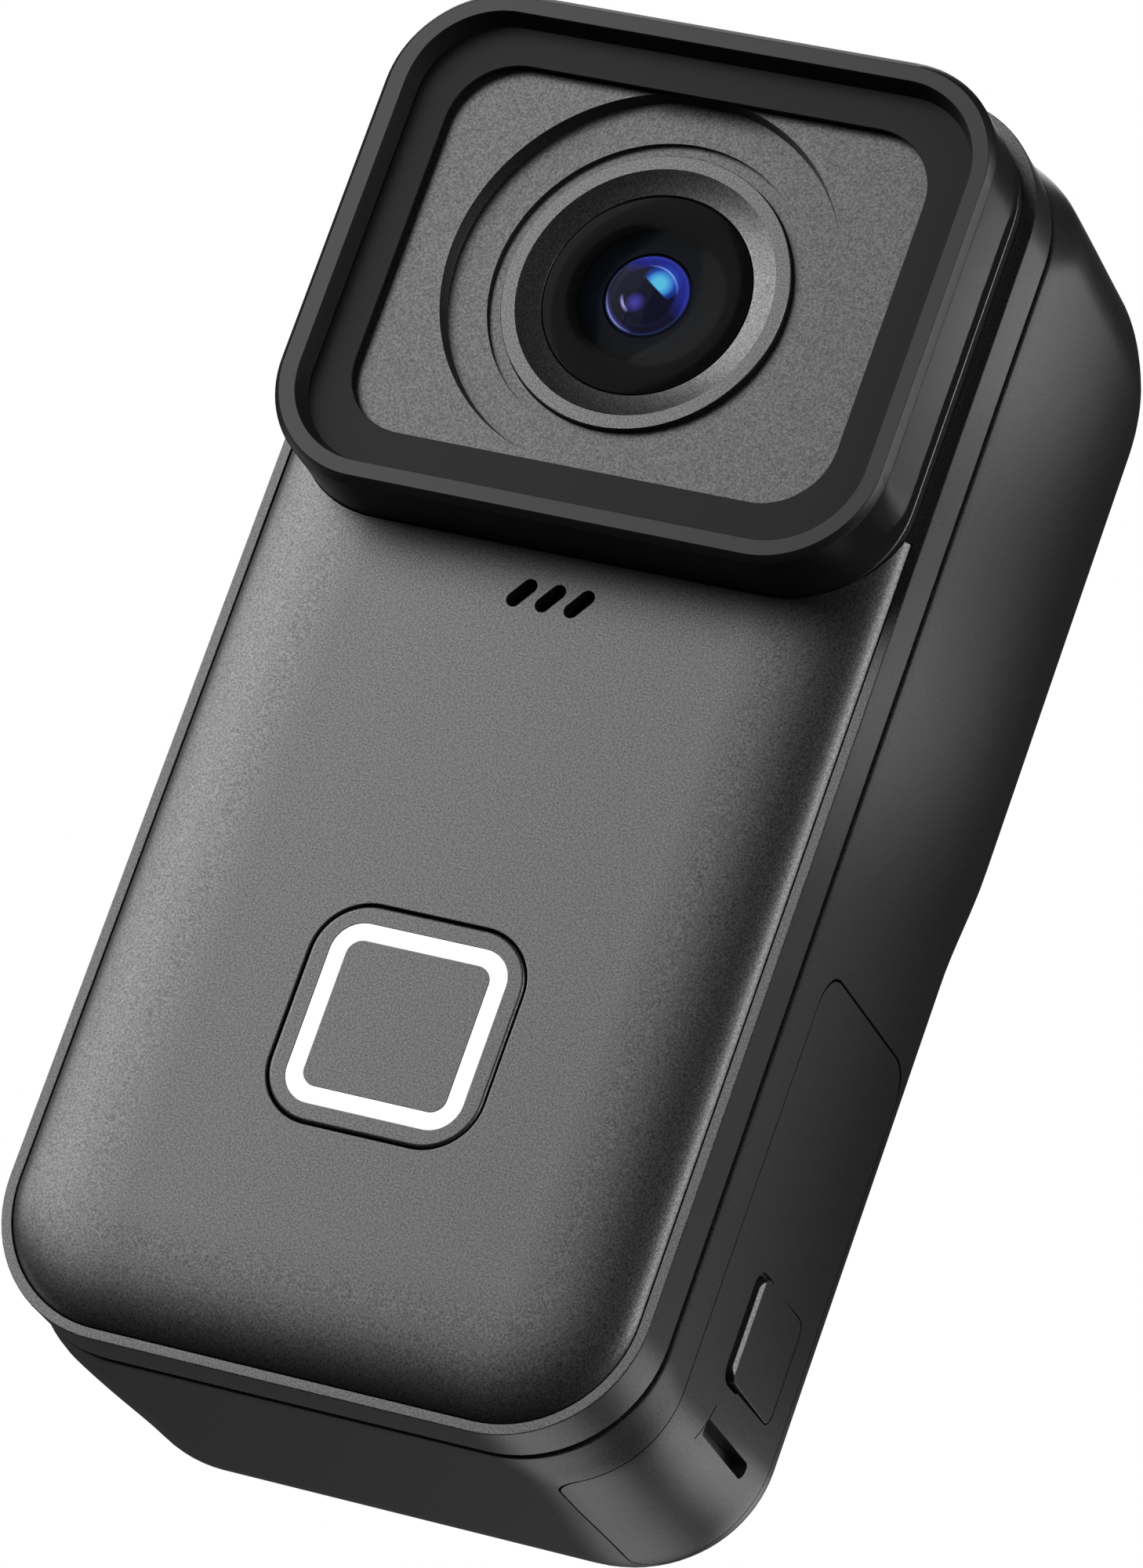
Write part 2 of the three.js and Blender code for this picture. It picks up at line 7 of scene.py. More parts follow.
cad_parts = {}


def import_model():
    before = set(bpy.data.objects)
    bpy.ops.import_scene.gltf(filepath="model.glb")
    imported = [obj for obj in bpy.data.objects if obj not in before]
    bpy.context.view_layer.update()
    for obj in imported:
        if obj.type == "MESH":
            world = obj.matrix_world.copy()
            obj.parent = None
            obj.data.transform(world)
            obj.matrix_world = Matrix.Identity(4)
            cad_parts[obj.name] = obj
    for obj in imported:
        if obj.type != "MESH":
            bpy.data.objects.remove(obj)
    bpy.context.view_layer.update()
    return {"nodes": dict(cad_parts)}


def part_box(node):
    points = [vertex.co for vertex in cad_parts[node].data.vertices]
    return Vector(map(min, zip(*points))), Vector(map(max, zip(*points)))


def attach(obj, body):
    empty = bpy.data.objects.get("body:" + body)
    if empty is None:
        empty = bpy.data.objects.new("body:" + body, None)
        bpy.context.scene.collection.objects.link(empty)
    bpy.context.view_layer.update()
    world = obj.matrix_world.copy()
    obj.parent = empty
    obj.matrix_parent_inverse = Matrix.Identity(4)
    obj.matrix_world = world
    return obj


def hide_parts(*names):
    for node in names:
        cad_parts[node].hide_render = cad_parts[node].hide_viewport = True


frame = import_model()
nodes = frame["nodes"]

# The pieces are drawn in millimetres: x to the right, z up, y into the body, counted from the record
# button's face. place() puts them into the row frame, in metres. The camera, the lights and the floor
# are given in metres in the row frame.
MM = 0.001
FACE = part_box("record_button_cap")[0].y / MM


def span(node):
    low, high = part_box(node)
    return [v / MM for v in low], [v / MM for v in high]


# The body: its outline seen from the front, its walls, and the rounding of its back.
HALF_WIDTH = span("front_frame")[1][0]
HEIGHT = span("front_frame")[1][2]
BACK = span("rear_shell")[1][1] - FACE
OUTSIDE = 25          # an x clear of the body, where cuts in its sides end
WALL = 1.6
CORNER_BOTTOM, CORNER_TOP = 8.8, 8.4
FRAME_FRONT = span("front_frame")[0][1] - FACE
FRAME_BACK = span("front_frame")[1][1] - FACE
SHELL_FRONT = span("rear_shell")[0][1] - FACE
SHELL_LIP = 0.14      # the rounding of the rear shell's front edge
BACK_STEP, STEP_LOW, STEP_HIGH = 1.1, 42.0, 50.0
SIDE_FILLET, TOP_FILLET, BOTTOM_FILLET = 5.4, 9.5, 7.3

# The front frame's rim, and the panel inside it.
RIM = 0.68
POCKET_FLOOR = 2.3
PANEL_INSET = HALF_WIDTH - span("front_panel")[1][0]
PANEL_TOP = span("front_panel")[1][2] - 1.6
PANEL_BACK = 2.15
PANEL_SKIRT = 0.07    # how far the panel's side stands out past its CAD edge, towards the rim
BOW_WIDTH, BOW_DROP = 8.0, 0.55
ROLL_WIDTH, ROLL_DROP, ROLL_SHARE = 5.5, 1.05, 0.95
MIC_Z, MIC_PITCH, MIC_TILT = 51.55, 1.95, 35.5
MIC_SLOT = (2.25, 1.0)
WIRE_PITCH, WIRE_HALF = 0.32, 0.05

# The record button: its outline and the two edges of the light ring, as half width, half height, corner.
BUTTON_Z = sum(span("record_button_cap")[k][2] for k in (0, 1)) / 2
BUTTON_HALF = span("record_button_cap")[1][0]
CAP = (BUTTON_HALF, BUTTON_HALF, 3.55)
CAP_HOLE = (BUTTON_HALF + 0.13, BUTTON_HALF + 0.13, 3.68)
LIGHT_OUTER, LIGHT_INNER = (5.93, 5.93, 2.05), (4.8, 4.8, 1.0)

# The lens: the raised plate and its two round steps, the bezel, the black ring and the element.
LENS_Z = sum(span("lens_bezel")[k][2] for k in (0, 1)) / 2
DECK = span("lens_block")[0][1] - FACE
PLATE_SIZE = (18.75, 15.1, 5.4)
DISH_DEPTH, DISH_R, DISH_FLOOR_R, DISH_SHIFT = 0.95, 12.83, 12.62, (-0.27, 0.31)
GROOVE_DEPTH, GROOVE_R, WELL_R = 1.30, 10.22, 9.38
BEZEL_FACE, BEZEL_IN, BEZEL_OUT = -2.27, 6.82, 9.3
RING_IN, RING_OUT = 2.85, 6.74
DOME_R, DOME_FRONT, DOME_DROP = 2.7, -2.05, 0.35

# The lens guard: its frame, the printed mask and the window.
guard_low, guard_high = span("guard_frame")
GUARD_Z = (guard_low[2] + guard_high[2]) / 2
GUARD = (guard_high[0], (guard_high[2] - guard_low[2]) / 2, 7.3)
GUARD_FRONT, GUARD_BACK = guard_low[1] - FACE, guard_high[1] - FACE
GUARD_BEVEL, GUARD_LIP = 0.42, 1.44
WINDOW_SEAT, WINDOW_INSET = -3.78, 1.28
MASK_FRONT, MASK_BACK, MASK_OPENING = -3.74, -3.52, (16.28, 12.75, 4.4)
GLASS_FRONT, GLASS_BACK = -3.46, -3.2

# The screen, the power key, and the battery door with its latch.
screen_low, screen_high = span("screen_glass")
SCREEN_CORNER = 2.6
KEY_LENGTH, KEY_WIDTH = 11, 4.6
DOOR_FRONT, DOOR_BACK, DOOR_TOP, DOOR_EDGE, DOOR_R = 9.42, 26.4, 35.38, 15.5, 2.4
latch_low, latch_high = span("door_latch")
LATCH_FRONT, LATCH_BACK = latch_low[1] - FACE, latch_high[1] - FACE
LATCH_CORNER, LATCH_DEPTH = 0.9, 1.2
NAIL_DEPTH, SLIT_DEPTH = 1.2, 0.8


# ---------------------------------------------------------------- mesh tools
def place(bm):
    for v in bm.verts:
        v.co = Vector((v.co.x, v.co.y + FACE, v.co.z)) * MM


def to_object(name, bm, sharp=32.0):
    bmesh.ops.recalc_face_normals(bm, faces=bm.faces)
    mesh = bpy.data.meshes.new(name)
    place(bm)
    bm.to_mesh(mesh)
    bm.free()
    mesh.shade_smooth()
    mesh.set_sharp_from_angle(angle=math.radians(sharp))
    obj = bpy.data.objects.new(name, mesh)
    bpy.context.scene.collection.objects.link(obj)
    return obj


def arc(cx, cz, r, a0, a1, steps):
    points = []
    for i in range(steps + 1):
        a = math.radians(a0 + (a1 - a0) * i / steps)
        points.append((cx + r * math.cos(a), cz + r * math.sin(a)))
    return points


def ring(half_x, low, high, r_low, r_high, y, steps=16, rows=()):
    """A closed loop at depth y, with rounded corners, as (x, y, z) points."""
    right = arc(half_x - r_low, low + r_low, r_low, -90, 0, steps)
    right += [(half_x, z) for z in rows]
    right += arc(half_x - r_high, high - r_high, r_high, 0, 90, steps)
    loop = right + [(-x, z) for x, z in reversed(right)]
    return [(x, y, z) for x, z in loop]


def loft(rings):
    """Skins loops with the same number of points and closes both ends."""
    bm = bmesh.new()
    rows = [[bm.verts.new(p) for p in loop] for loop in rings]
    count = len(rows[0])
    for a, b in zip(rows, rows[1:]):
        for i in range(count):
            j = (i + 1) % count
            bm.faces.new((a[i], a[j], b[j], b[i]))
    bm.faces.new(rows[0])
    bm.faces.new(list(reversed(rows[-1])))
    return bm


def plate(size, z, profile, steps=16):
    """A rounded rectangle about (0, z): profile is a list of (inset, depth)."""
    half_x, half_z, corner = size
    loops = []
    for d, y in profile:
        r = max(corner - d, 0.05)
        loops.append(ring(half_x - d, z - half_z + d, z + half_z - d, r, r, y, steps))
    return loft(loops)


def lathe(profile, z, sides=128, x=0.0):
    """A solid turned about the line along y through (x, z). Its profile, as (radius, depth), starts
    and ends on that line, or comes back to its first point and makes a ring."""
    bm = bmesh.new()
    rows = []
    angles = [2 * math.pi * i / sides for i in range(sides)]
    for r, y in profile:
        if r < 1e-6:
            rows.append([bm.verts.new((x, y, z))])
        else:
            rows.append([bm.verts.new((x + r * math.cos(a), y, z + r * math.sin(a))) for a in angles])
    for a, b in zip(rows, rows[1:]):
        for i in range(sides):
            j = (i + 1) % sides
            if len(a) == 1:
                bm.faces.new((a[0], b[j], b[i]))
            elif len(b) == 1:
                bm.faces.new((a[i], a[j], b[0]))
            else:
                bm.faces.new((a[i], a[j], b[j], b[i]))
    if profile[0] == profile[-1]:
        bmesh.ops.remove_doubles(bm, verts=bm.verts, dist=1e-5)
    return bm


def prism(points, low, high, axis):
    """Extrudes a flat outline: axis "x" takes (y, z) points, "y" takes (x, z), "z" takes (x, y)."""
    at = "xyz".index(axis)

    def put(point, height):
        return (*point[:at], height, *point[at:])

    return loft([[put(p, low) for p in points], [put(p, high) for p in points]])


def rounded(x0, x1, z0, z1, r, steps=10):
    """A rounded rectangle as points; r is one radius or four, from the low-x low-z corner round."""
    a, b, c, d = r if isinstance(r, tuple) else (r, r, r, r)
    return (arc(x0 + a, z0 + a, a, 180, 270, steps) + arc(x1 - b, z0 + b, b, 270, 360, steps)
            + arc(x1 - c, z1 - c, c, 0, 90, steps) + arc(x0 + d, z1 - d, d, 90, 180, steps))


def boolean(obj, bm, operation="DIFFERENCE"):
    """Cuts, joins or intersects obj with the solid in bm, and keeps the result as obj's mesh."""
    tool = to_object("tool", bm)
    modifier = obj.modifiers.new("cut", "BOOLEAN")
    modifier.operation = operation
    modifier.solver = "EXACT"
    modifier.object = tool
    apply_modifiers(obj)
    bpy.data.objects.remove(tool)
    return obj


def apply_modifiers(obj):
    bpy.context.view_layer.update()
    evaluated = obj.evaluated_get(bpy.context.evaluated_depsgraph_get())
    mesh = bpy.data.meshes.new_from_object(evaluated)
    obj.modifiers.clear()
    obj.data = mesh


def finish_mesh(obj, sharp=32.0, edge=None, segments=2, limit=40.0):
    """Cleans a cut mesh and shades it. An edge width, in mm, rounds its edges of over limit degrees."""
    bm = bmesh.new()
    bm.from_mesh(obj.data)
    bmesh.ops.remove_doubles(bm, verts=bm.verts, dist=2e-6)
    bmesh.ops.dissolve_degenerate(bm, dist=1e-7, edges=bm.edges)
    bm.to_mesh(obj.data)
    bm.free()
    if edge:
        modifier = obj.modifiers.new("edge", "BEVEL")
        modifier.width = edge * MM
        modifier.segments = segments
        modifier.limit_method = "ANGLE"
        modifier.angle_limit = math.radians(limit)
        modifier.use_clamp_overlap = True
        apply_modifiers(obj)
    obj.data.shade_smooth()
    obj.data.set_sharp_from_angle(angle=math.radians(sharp))
    modifier = obj.modifiers.new("normals", "WEIGHTED_NORMAL")
    modifier.mode = "FACE_AREA"
    modifier.weight = 80
    modifier.keep_sharp = True
    apply_modifiers(obj)
    return obj


def keep(obj, material, body, slot, *replaced):
    obj.data.materials.clear()
    obj.data.materials.append(material)
    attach(obj, body)
    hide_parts(*replaced)
    return obj


# ---------------------------------------------------------------- materials
def shader(name, color, roughness, metallic=0.0, specular=0.5):
    material = bpy.data.materials.new(name)
    material.use_nodes = True
    bsdf = material.node_tree.nodes["Principled BSDF"]
    bsdf.inputs["Base Color"].default_value = (*color, 1.0)
    bsdf.inputs["Roughness"].default_value = roughness
    bsdf.inputs["Metallic"].default_value = metallic
    bsdf.inputs["Specular IOR Level"].default_value = specular
    return material, material.node_tree, bsdf


def noise(tree, scale, detail=2.0, rough=0.5, stretch=None):
    coords = tree.nodes.new("ShaderNodeTexCoord")
    mapping = tree.nodes.new("ShaderNodeMapping")
    if stretch:
        mapping.inputs["Scale"].default_value = stretch
    texture = tree.nodes.new("ShaderNodeTexNoise")
    texture.inputs["Scale"].default_value = scale
    texture.inputs["Detail"].default_value = detail
    texture.inputs["Roughness"].default_value = rough
    tree.links.new(coords.outputs["Object"], mapping.inputs["Vector"])
    tree.links.new(mapping.outputs["Vector"], texture.inputs["Vector"])
    return texture.outputs["Fac"]


def remap(tree, value, low, high, start=0.3, end=0.7):
    node = tree.nodes.new("ShaderNodeMapRange")
    node.inputs["From Min"].default_value = start
    node.inputs["From Max"].default_value = end
    node.inputs["To Min"].default_value = low
    node.inputs["To Max"].default_value = high
    tree.links.new(value, node.inputs["Value"])
    return node.outputs["Result"]


def tint(tree, value, dark, light):
    ramp = tree.nodes.new("ShaderNodeValToRGB")
    ramp.color_ramp.elements[0].color = (*dark, 1.0)
    ramp.color_ramp.elements[1].color = (*light, 1.0)
    ramp.color_ramp.elements[0].position = 0.3
    ramp.color_ramp.elements[1].position = 0.7
    tree.links.new(value, ramp.inputs["Fac"])
    return ramp.outputs["Color"]


def bump(tree, bsdf, height, strength, distance):
    node = tree.nodes.new("ShaderNodeBump")
    node.inputs["Strength"].default_value = strength
    node.inputs["Distance"].default_value = distance * MM
    tree.links.new(height, node.inputs["Height"])
    tree.links.new(node.outputs["Normal"], bsdf.inputs["Normal"])


def satin(name, color, roughness, metallic, grain=0.12, depth=0.003, spread=0.55, specular=0.5):
    """A finely grained moulded or blasted surface: grain is its size in mm."""
    material, tree, bsdf = shader(name, color, roughness, metallic, specular)
    fine = noise(tree, 1.0 / (grain * MM), 3.0, 0.6)
    dark = [c * (1 - spread) for c in color]
    light = [c * (1 + spread) for c in color]
    tree.links.new(tint(tree, fine, dark, light), bsdf.inputs["Base Color"])
    tree.links.new(remap(tree, fine, roughness - 0.02, roughness + 0.02), bsdf.inputs["Roughness"])
    bump(tree, bsdf, fine, 0.3, depth)
    return material


def polished(name, color, roughness):
    """Smooth glass with a trace of dust and a slow change of tone."""
    material, tree, bsdf = shader(name, color, roughness)
    dust = noise(tree, 1.0 / (0.9 * MM), 4.0, 0.7)
    tree.links.new(remap(tree, dust, roughness * 0.7, roughness * 1.8), bsdf.inputs["Roughness"])
    dark = [c * 0.85 for c in color]
    light = [c * 1.2 for c in color]
    tree.links.new(tint(tree, noise(tree, 1.0 / (6 * MM)), dark, light), bsdf.inputs["Base Color"])
    return material


def brushed(name, color, roughness, stretch):
    """Metal with fine lines; stretch squeezes the noise along the axes across them."""
    material, tree, bsdf = shader(name, color, roughness, 1.0)
    lines = noise(tree, 1.0 / (0.5 * MM), 3.0, 0.6, stretch)
    tree.links.new(remap(tree, lines, roughness * 0.75, roughness * 1.35), bsdf.inputs["Roughness"])
    tree.links.new(tint(tree, lines, [c * 0.85 for c in color], [min(c * 1.12, 1) for c in color]),
                   bsdf.inputs["Base Color"])
    bump(tree, bsdf, lines, 0.25, 0.01)
    return material


def board(name):
    """Solder mask, paler along the copper runs under it."""
    material, tree, bsdf = shader(name, (0.010, 0.045, 0.022), 0.35)
    coords = tree.nodes.new("ShaderNodeTexCoord")
    cells = tree.nodes.new("ShaderNodeTexVoronoi")
    cells.distance = "CHEBYCHEV"
    cells.inputs["Scale"].default_value = 1.0 / (1.6 * MM)
    tree.links.new(coords.outputs["Object"], cells.inputs["Vector"])
    runs = cells.outputs["Distance"]
    mask = tint(tree, runs, (0.016, 0.075, 0.036), (0.006, 0.03, 0.015))
    tree.links.new(mask, bsdf.inputs["Base Color"])
    bump(tree, bsdf, runs, 0.3, 0.03)
    return material


SHELL = satin("shell_satin", (0.060, 0.060, 0.060), 0.40, 0.93)
PANEL = satin("panel_satin", (0.063, 0.063, 0.063), 0.40, 0.93)
PLATE = satin("plate_satin", (0.062, 0.062, 0.062), 0.42, 0.93)
BEZEL = satin("bezel_satin", (0.062, 0.062, 0.062), 0.33, 0.93)
GUARD_BLACK = satin("guard_satin", (0.006, 0.006, 0.006), 0.36, 0.0, 0.12, 0.002, 0.1, 0.22)
MASK = satin("mask_matt", (0.004, 0.004, 0.004), 0.5, 0.0, 0.12, 0.002, 0.1, 0.12)
WELL = satin("dark_moulding", (0.010, 0.010, 0.011), 0.6, 0.0, 0.2, 0.004, 0.2)
RUBBER = satin("seal_rubber", (0.008, 0.008, 0.009), 0.75, 0.0, 0.2, 0.006, 0.3)
BATTERY = satin("battery_wrap", (0.020, 0.021, 0.023), 0.38, 0.0, 0.4, 0.002, 0.15)
BLACK_GLASS = polished("black_glass", (0.0035, 0.0035, 0.004), 0.05)
STEEL = brushed("steel_satin", (0.46, 0.47, 0.49), 0.32, (1, 1, 18))
ALUMINIUM = brushed("aluminium_satin", (0.62, 0.63, 0.64), 0.38, (18, 1, 1))
GOLD = brushed("contact_gold", (0.80, 0.58, 0.26), 0.28, (1, 1, 12))
BOARD = board("board_mask")


def light_guide(name):
    """The white frame of light round the record button, evenly lit from behind."""
    material, tree, bsdf = shader(name, (0.86, 0.86, 0.86), 0.35)
    mottle = tint(tree, noise(tree, 1.0 / (1.2 * MM)), (0.82, 0.82, 0.82), (0.9, 0.9, 0.9))
    tree.links.new(mottle, bsdf.inputs["Base Color"])
    bsdf.inputs["Emission Color"].default_value = (1.0, 1.0, 1.0, 1.0)
    bsdf.inputs["Emission Strength"].default_value = 0.55
    return material


def window_glass(name):
    """Clear flat glass, thin enough to take no colour."""
    material, tree, bsdf = shader(name, (0.02, 0.02, 0.02), 0.03, 0.0, 0.0)
    dust = noise(tree, 1.0 / (0.7 * MM), 4.0, 0.7)
    tree.links.new(remap(tree, dust, 0.02, 0.06), bsdf.inputs["Roughness"])
    bsdf.inputs["Alpha"].default_value = 0.02
    return material


LIGHT = light_guide("light_white")
WINDOW = window_glass("window_clear")


# ---------------------------------------------------------------- outer forms
def smooth(t):
    """Eases from 0 at t = 0 to 1 at t = 1."""
    s = min(max(t, 0.0), 1.0)
    return s * s * (3 - 2 * s)


def body_ring(inset, y, steps=18):
    """The body's front outline, inset inwards, at depth y."""
    return ring(HALF_WIDTH - inset, inset, HEIGHT - inset,
                CORNER_BOTTOM - inset, CORNER_TOP - inset, y, steps)


def shell_ring(inset, y, back, extra=0.0):
    """One loop of the rear shell at depth y, offset inwards by inset; back is the depth of its back face.

    The corners tighten behind the seam and open again towards the back. Rows of points are close
    together where the back steps in.
    """
    def fillet(radius):
        past = max(y - (back - radius), 0.0)
        return radius - math.sqrt(max(radius * radius - past * past, 0.0))

    side = fillet(SIDE_FILLET - inset)
    top = fillet(TOP_FILLET - inset)
    bottom = fillet(BOTTOM_FILLET - inset)
    behind = smooth((y - 5.4) / 4.8)
    regrow = smooth((y - 10) / 16)
    r_low = CORNER_BOTTOM - inset - 1.2 * behind + 1.2 * regrow - 0.8 * max(side, bottom)
    r_high = CORNER_TOP - inset - 2.0 * behind + 0.5 * regrow + 0.5 * max(side, top)
    rows = [34 + 1.25 * i for i in range(18)]
    loop = ring(HALF_WIDTH - inset - side - extra, inset + bottom + extra, HEIGHT - inset - top - extra,
                max(r_low - extra, 0.3), r_high - extra, y, 20, rows)
    step = [(x, d, z, 1 - smooth((z - STEP_LOW) / (STEP_HIGH - STEP_LOW))) for x, d, z in loop]
    return [(x, d - BACK_STEP * low * smooth((d - 14) / 10), z) for x, d, z, low in step]


def shell_solid(inset, front, lip=0.0):
    """The rear shell's outer form, offset inwards by inset; lip rounds its front edge."""
    back = BACK - inset
    depths = [front]
    if lip:
        depths += [front + lip * 0.3, front + lip]
    y = depths[-1]
    while y < back - TOP_FILLET - 0.5:
        y += 1.1
        depths.append(y)
    start = depths[-1]
    for i in range(1, 25):
        depths.append(start + (back - start) * math.sin(math.pi / 2 * i / 24))
    extras = {front: lip, front + lip * 0.3: lip * 0.3} if lip else {}
    return loft([shell_ring(inset, y, back, extras.get(y, 0.0)) for y in depths])


def door_side(grow, top_grow):
    """The door's outline seen from the side, as (y, z)."""
    return rounded(DOOR_FRONT - grow, DOOR_BACK + grow, -6, DOOR_TOP + top_grow,
                   (1, 1, DOOR_R, DOOR_R), 12)


def door_floor(grow):
    """The door's outline seen from below, as (x, y)."""
    return rounded(DOOR_EDGE - grow, 30, DOOR_FRONT - grow, DOOR_BACK + grow, (1.5, 1, 1, 2.4), 12)


def door_cutter(grow, top_grow):
    """The space the door takes up, from its inner edge outwards."""
    cutter = to_object("cutter", prism(door_side(grow, top_grow), DOOR_EDGE - grow, 30, "x"))
    return as_bmesh(boolean(cutter, prism(door_floor(grow), -7, 60, "z"), "INTERSECT"))


def as_bmesh(obj):
    """Takes an object's mesh back into drawing millimetres and removes the object."""
    bm = bmesh.new()
    bm.from_mesh(obj.data)
    for v in bm.verts:
        v.co = Vector((v.co.x / MM, v.co.y / MM - FACE, v.co.z / MM))
    bpy.data.objects.remove(obj)
    return bm


def capsule(cx, cz, length, width, tilt=0.0, steps=12):
    """An upright slot outline about (cx, cz), turned clockwise by tilt degrees."""
    reach = (length - width) / 2
    points = arc(0, reach, width / 2, 0, 180, steps) + arc(0, -reach, width / 2, 180, 360, steps)
    a = math.radians(-tilt)
    cos, sin = math.cos(a), math.sin(a)
    return [(cx + x * cos - z * sin, cz + x * sin + z * cos) for x, z in points]


# ---------------------------------------------------------------- front frame and panel
def front_frame():
    outer = [(0.12, FRAME_BACK), (0.03, FRAME_BACK - 0.03), (0.0, FRAME_BACK - 0.12), (0.0, 3.5),
             (0.0, FRAME_FRONT + 0.09), (0.02, FRAME_FRONT + 0.03), (0.07, FRAME_FRONT)]
    obj = to_object("frame_shell", loft([body_ring(d, y) for d, y in outer]))
    rim = [(RIM - 0.03, 0.4), (RIM - 0.03, FRAME_FRONT), (RIM, FRAME_FRONT + 0.03), (RIM, POCKET_FLOOR)]
    pocket = to_object("pocket", loft([body_ring(d, y) for d, y in rim]))
    boolean(pocket, plate(GUARD, GUARD_Z, [(0.1, -1), (0.1, 4)]))
    boolean(pocket, prism(rounded(-30, 30, PANEL_TOP + 0.08, 99, 0.1, 2), -2, 9, "y"))
    boolean(obj, as_bmesh(pocket))
    boolean(obj, loft([body_ring(WALL, 3.4), body_ring(WALL, 7)]))
    boolean(obj, lathe([(0, -1), (9.6, -1), (9.6, 6), (0, 6)], LENS_Z, 64))
    boolean(obj, prism(rounded(-5, 5, BUTTON_Z - 5, BUTTON_Z + 5, 0.5, 3), 0, 6, "y"))
    boolean(obj, prism(rounded(-3.6, 3.6, MIC_Z - 1.8, MIC_Z + 1.8, 0.5, 3), 0, 6, "y"))
    finish_mesh(obj)
    keep(obj, SHELL, "camera", "shell", "front_frame")


def panel_depth(d):
    """How far the panel's face lies behind its middle, d inwards from its edge."""
    bow = 1 - min(max(d, 0) / BOW_WIDTH, 1)
    roll = 1 - min(d / ROLL_WIDTH, 1)
    return BOW_DROP * bow ** 2 + ROLL_DROP * (1 - math.sqrt(1 - ROLL_SHARE * roll ** 3))


def front_panel():
    steps = 30
    insets = [BOW_WIDTH * (i / steps) ** 2.2 for i in range(steps, -1, -1)] + [-PANEL_SKIRT]
    rows = [body_ring(PANEL_INSET + d, panel_depth(d), 24) for d in insets]
    rows.append(body_ring(PANEL_INSET - PANEL_SKIRT, PANEL_BACK, 24))
    obj = to_object("panel_pillow", loft(rows))
    boolean(obj, plate(GUARD, GUARD_Z, [(-0.08, -6), (-0.08, 9)]))
    boolean(obj, prism(rounded(-30, 30, PANEL_TOP, 99, 0.1, 2), -3, 9, "y"))
    hole = [(-0.3, -1), (-0.12, -0.01), (-0.03, 0.04), (0, 0.14), (0, 4)]
    boolean(obj, plate(CAP_HOLE, BUTTON_Z, hole))
    for i in (-1, 0, 1):
        boolean(obj, prism(capsule(i * MIC_PITCH, MIC_Z, *MIC_SLOT, MIC_TILT), -1, 4, "y"))
    finish_mesh(obj)
    keep(obj, PANEL, "camera", "panel", "front_panel")


def microphone_mesh():
    """The grille behind the three slots: a plate with thin upright wires on its front."""
    outline = rounded(-3.7, 3.7, MIC_Z - 1.35, MIC_Z + 1.35, 0.3, 4)
    obj = to_object("mic_grille", prism(outline, 1.62, 1.74, "y"))
    for i in range(-11, 12):
        add_wire(obj, i * WIRE_PITCH)
    finish_mesh(obj)
    keep(obj, WELL, "camera", "steel", "mic_mesh")


def add_wire(obj, x):
    """Adds one upright wire at x to obj's mesh."""
    outline = rounded(x - WIRE_HALF, x + WIRE_HALF, MIC_Z - 1.3, MIC_Z + 1.3, 0.02, 2)
    bm = prism(outline, 1.56, 1.64, "y")
    bmesh.ops.recalc_face_normals(bm, faces=bm.faces)
    place(bm)
    base = bmesh.new()
    base.from_mesh(obj.data)
    extra = bpy.data.meshes.new("wire")
    bm.to_mesh(extra)
    bm.free()
    base.from_mesh(extra)
    base.to_mesh(obj.data)
    base.free()
    bpy.data.meshes.remove(extra)


def record_button():
    edge = [(0.22, 0.0), (0.1, 0.03), (0.03, 0.1), (0.0, 0.22), (0.0, 1.3)]
    cap = to_object("record_cap", plate(CAP, BUTTON_Z, edge))
    groove = to_object("groove", plate(LIGHT_OUTER, BUTTON_Z, [(-0.02, -1), (-0.02, 0.5)]))
    boolean(groove, plate(LIGHT_INNER, BUTTON_Z, [(0.02, -2), (0.02, 1)]))
    boolean(cap, as_bmesh(groove))
    finish_mesh(cap)
    keep(cap, PANEL, "record_button", "panel", "record_button_cap")
    outside = [(0.1, 0.015), (0.03, 0.04), (0.0, 0.1), (0.0, 0.48)]
    light = to_object("record_light", plate(LIGHT_OUTER, BUTTON_Z, outside))
    inside = [(-0.1, -1), (-0.1, 0.012), (-0.03, 0.04), (0, 0.1), (0, 2)]
    boolean(light, plate(LIGHT_INNER, BUTTON_Z, inside))
    finish_mesh(light)
    keep(light, LIGHT, "record_button", "light", "record_light_ring")


# ---------------------------------------------------------------- lens
def lens_block():
    edge = [(0.2, DECK), (0.06, DECK + 0.06), (0, DECK + 0.2), (0, 1.1)]
    obj = to_object("lens_plate", plate(PLATE_SIZE, GUARD_Z, edge))
    flange = plate(GUARD, GUARD_Z, [(0.12, 0.56), (0.07, 0.61), (0.05, 0.7), (0.05, 1.22)])
    boolean(obj, flange, "UNION")
    step, groove = DECK + DISH_DEPTH, DECK + GROOVE_DEPTH
    dish = [(0, -5), (DISH_R, -5), (DISH_R, DECK + 0.02), (DISH_FLOOR_R, step), (0, step)]
    boolean(obj, lathe(dish, LENS_Z + DISH_SHIFT[1], 192, DISH_SHIFT[0]))
    well = [(0, -5), (GROOVE_R, -5), (GROOVE_R, groove), (WELL_R, groove), (WELL_R, 3.0), (0, 3.0)]
    boolean(obj, lathe(well, LENS_Z, 160))
    finish_mesh(obj, 28)
    keep(obj, PLATE, "camera", "panel", "lens_block")


